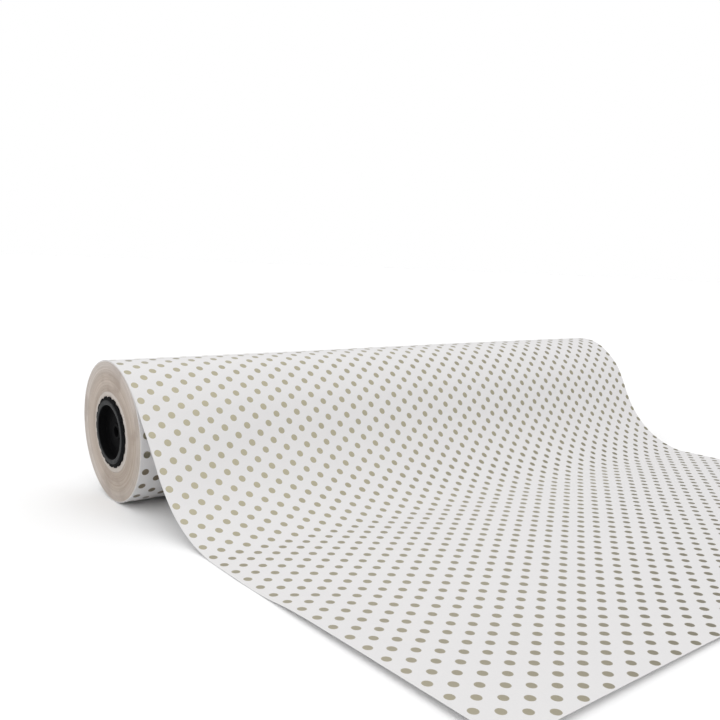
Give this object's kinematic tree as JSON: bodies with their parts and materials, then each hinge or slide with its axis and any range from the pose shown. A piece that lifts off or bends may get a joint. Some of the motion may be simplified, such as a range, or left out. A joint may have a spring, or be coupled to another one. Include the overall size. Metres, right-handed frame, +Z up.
{
  "type": "wrapping paper roll",
  "caption": "Counter roll of gift wrapping paper with a gold dot print on a cardboard core, end plugs in the core, and a length of paper drawn off over the top and lying flat.",
  "frame": {"origin": "on the table, under the middle of the object's outline; the roll's axis is at Y = 148.06 mm, Z = 46.44 mm", "axes": "+X along the roll's axis, +Z up, the drawn-off sheet lies towards -Y"},
  "size_m": [0.5032, 0.389, 0.0929],
  "materials": {
    "printed_paper": "smooth coated paper, printed with small gold dots",
    "paper_coil": "cut edges of tightly wound paper",
    "cardboard_core": "spiral wound board, matt",
    "adhesive_tape": "thin double sided tape",
    "black_plastic": "moulded, fine satin"
  },
  "bodies": {
    "sheet": {"loose_sheet": "printed_paper"},
    "roll": {"core_tube": "cardboard_core", "wound_paper": "paper_coil", "start_tape": "adhesive_tape"},
    "plug_left": {"end_plug_left": "black_plastic"},
    "plug_right": {"end_plug_right": "black_plastic"}
  },
  "joints": [
    {"name": "roll_turn", "type": "hinge", "parent": "sheet", "child": "roll", "pos_m": [0, 0.14806, 0.04644], "axis": [1, 0, 0], "continuous": true},
    {"name": "plug_left_pull", "type": "slide", "parent": "roll", "child": "plug_left", "axis": [-1, 0, 0], "range_m": [0, 0.03]},
    {"name": "plug_right_pull", "type": "slide", "parent": "roll", "child": "plug_right", "axis": [1, 0, 0], "range_m": [0, 0.03]}
  ]
}
